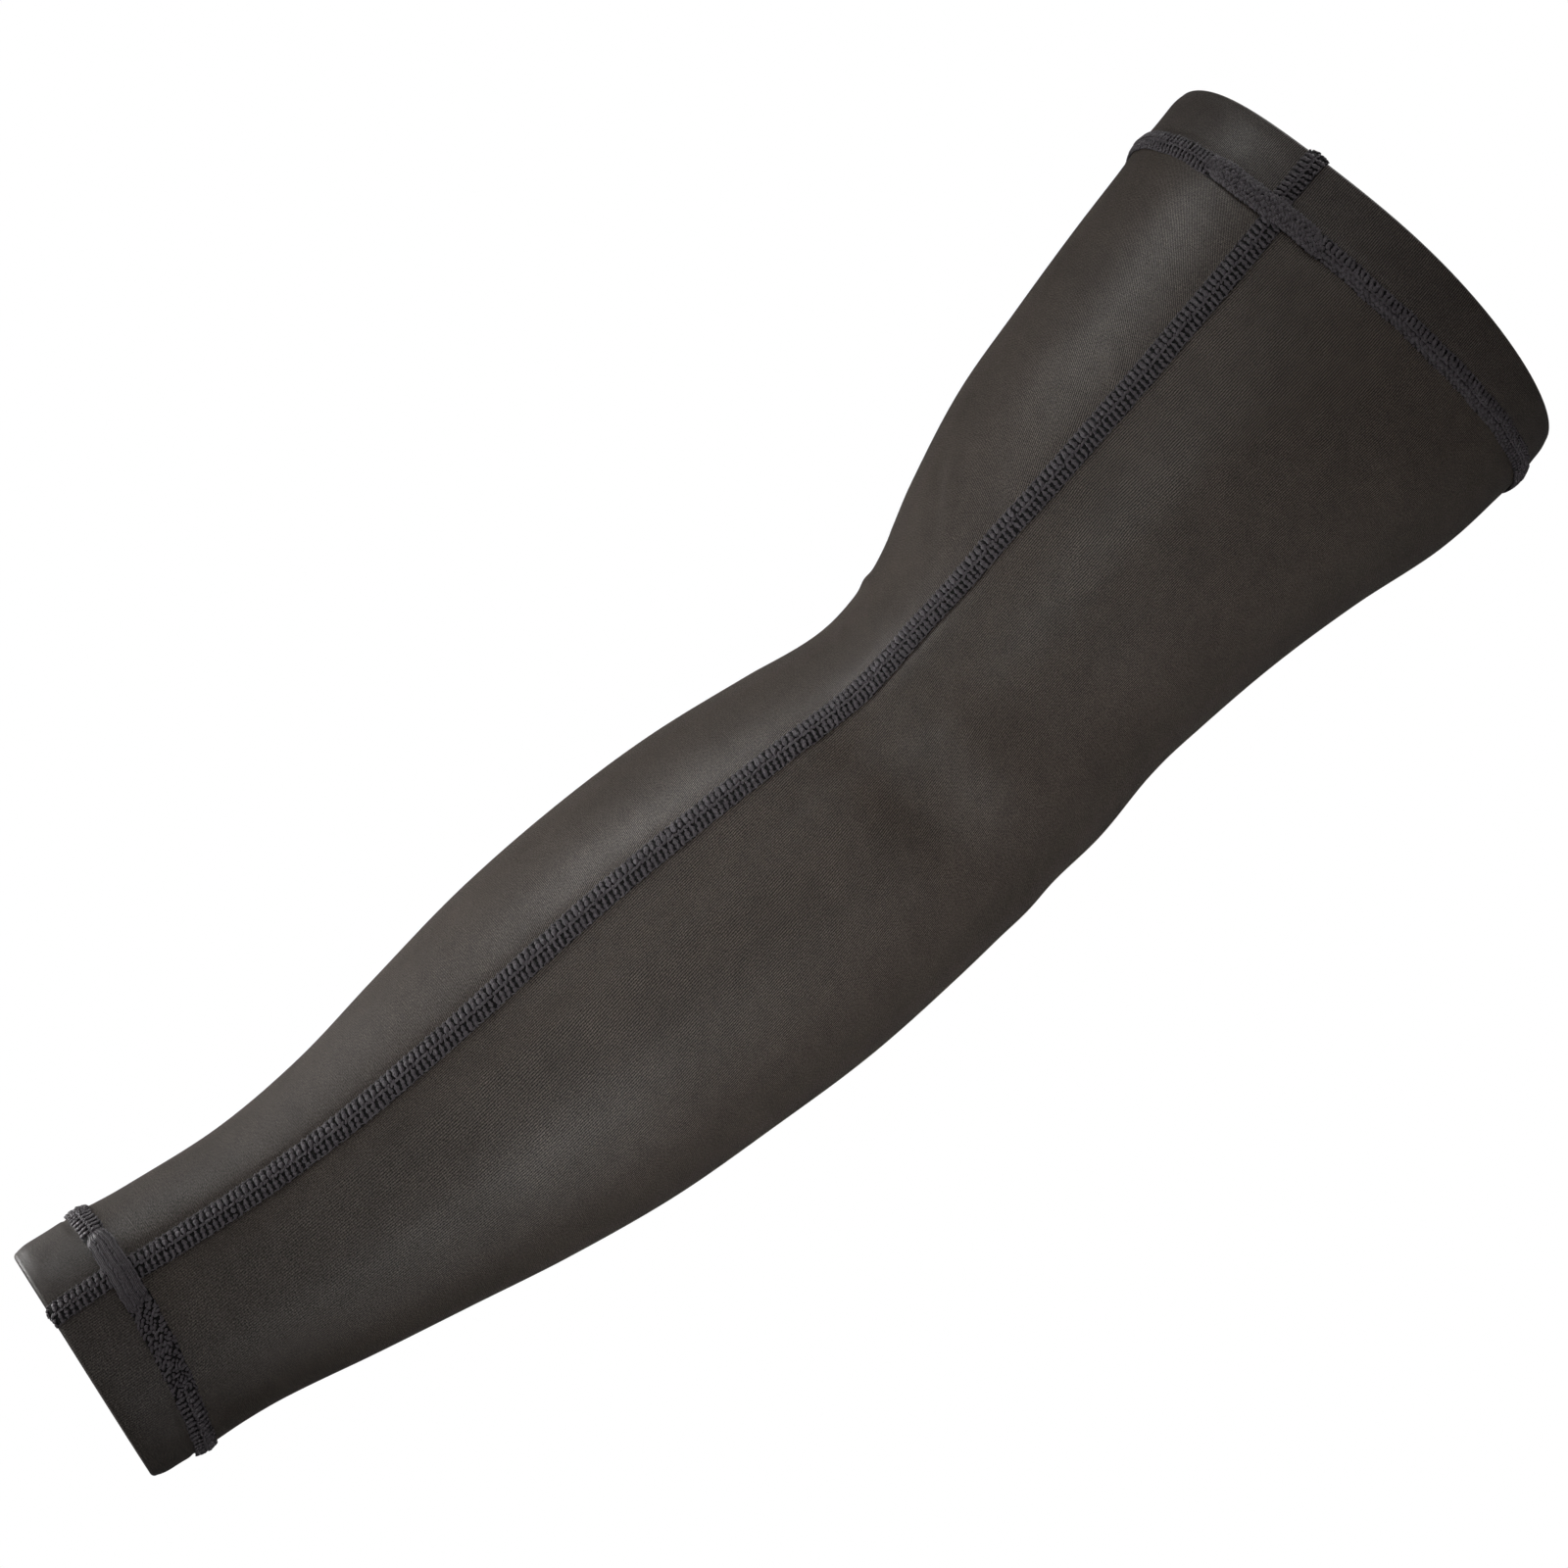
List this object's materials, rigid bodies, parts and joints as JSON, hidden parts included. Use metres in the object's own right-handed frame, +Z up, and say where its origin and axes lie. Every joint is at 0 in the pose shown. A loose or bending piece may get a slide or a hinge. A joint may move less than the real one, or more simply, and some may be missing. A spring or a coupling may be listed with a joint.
{
  "type": "arm sleeve",
  "caption": "Long knitted compression sleeve for the arm, shaped as worn with a slight bend, with flat seams and a folded hem at each end.",
  "frame": {"origin": "centre of the upper opening, where the sleeve ends on the upper arm", "axes": "+Z up the upper arm and out of the upper opening; the elbow bends towards -X, so the crook is on -X; the long seam is on the -Y side"},
  "size_m": [0.1545, 0.0998, 0.4185],
  "materials": {
    "knit": "matt fine rib knit with a slight sheen",
    "hem_knit": "matt fine rib knit, folded double",
    "stitching": "textured flat seam thread"
  },
  "bodies": {
    "root": {"sleeve_body": "knit", "upper_band": "hem_knit", "wrist_band": "hem_knit", "long_seam": "stitching", "upper_hem_seam": "stitching", "wrist_hem_seam": "stitching", "upper_band_seam": "stitching", "wrist_band_seam": "stitching"}
  },
  "joints": []
}
